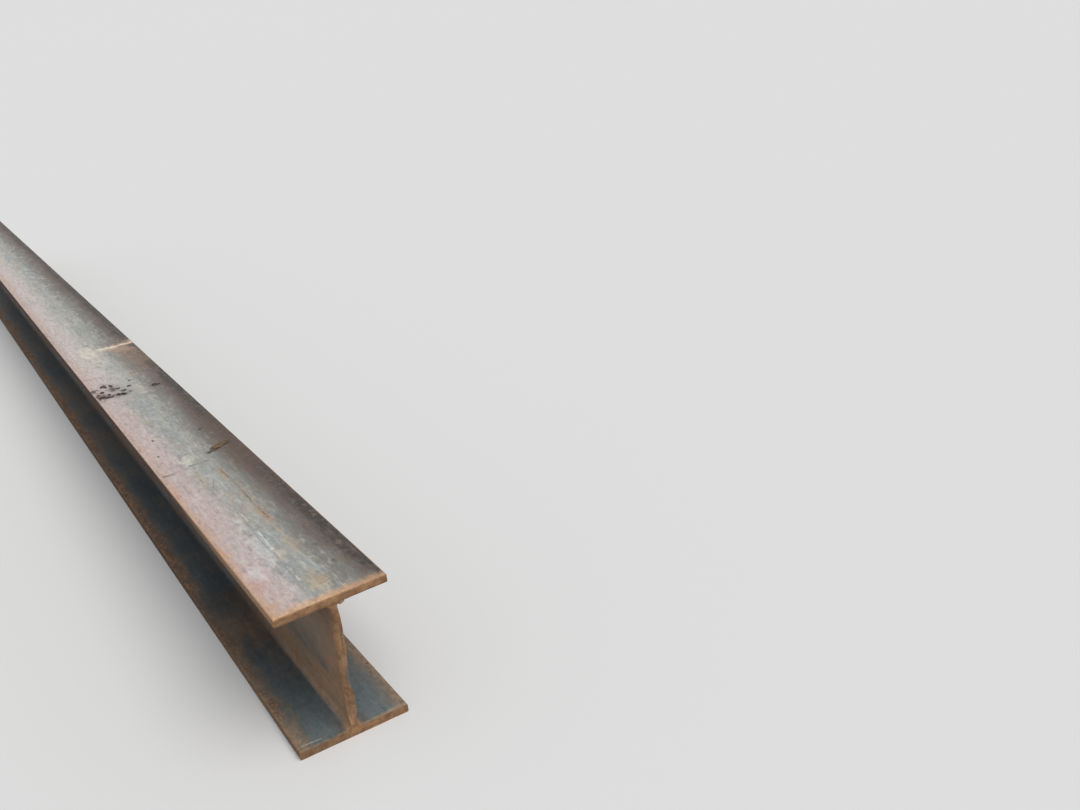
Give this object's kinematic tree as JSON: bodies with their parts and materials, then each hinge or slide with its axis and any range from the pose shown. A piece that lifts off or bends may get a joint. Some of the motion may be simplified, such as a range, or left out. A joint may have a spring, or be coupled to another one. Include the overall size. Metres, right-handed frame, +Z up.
{
  "type": "steel i-beam",
  "caption": "Hot-rolled wide-flange steel beam with rounded roots and torch-cut square ends, a length of structural stock that lies on its bottom flange.",
  "frame": {"origin": "underside of the bottom flange, at mid-length and mid-width", "axes": "+X along the beam towards the end that is nearest in the picture, +Y across the flanges, away from the side that shows in the picture, +Z up the web"},
  "size_m": [6, 0.256, 0.36],
  "materials": {
    "weathered_steel": "blue-grey mill scale under a thin film of mauve and brown rust, orange-brown on the edges and the torch-cut ends"
  },
  "bodies": {
    "root": {"i_beam": "weathered_steel"}
  },
  "joints": []
}
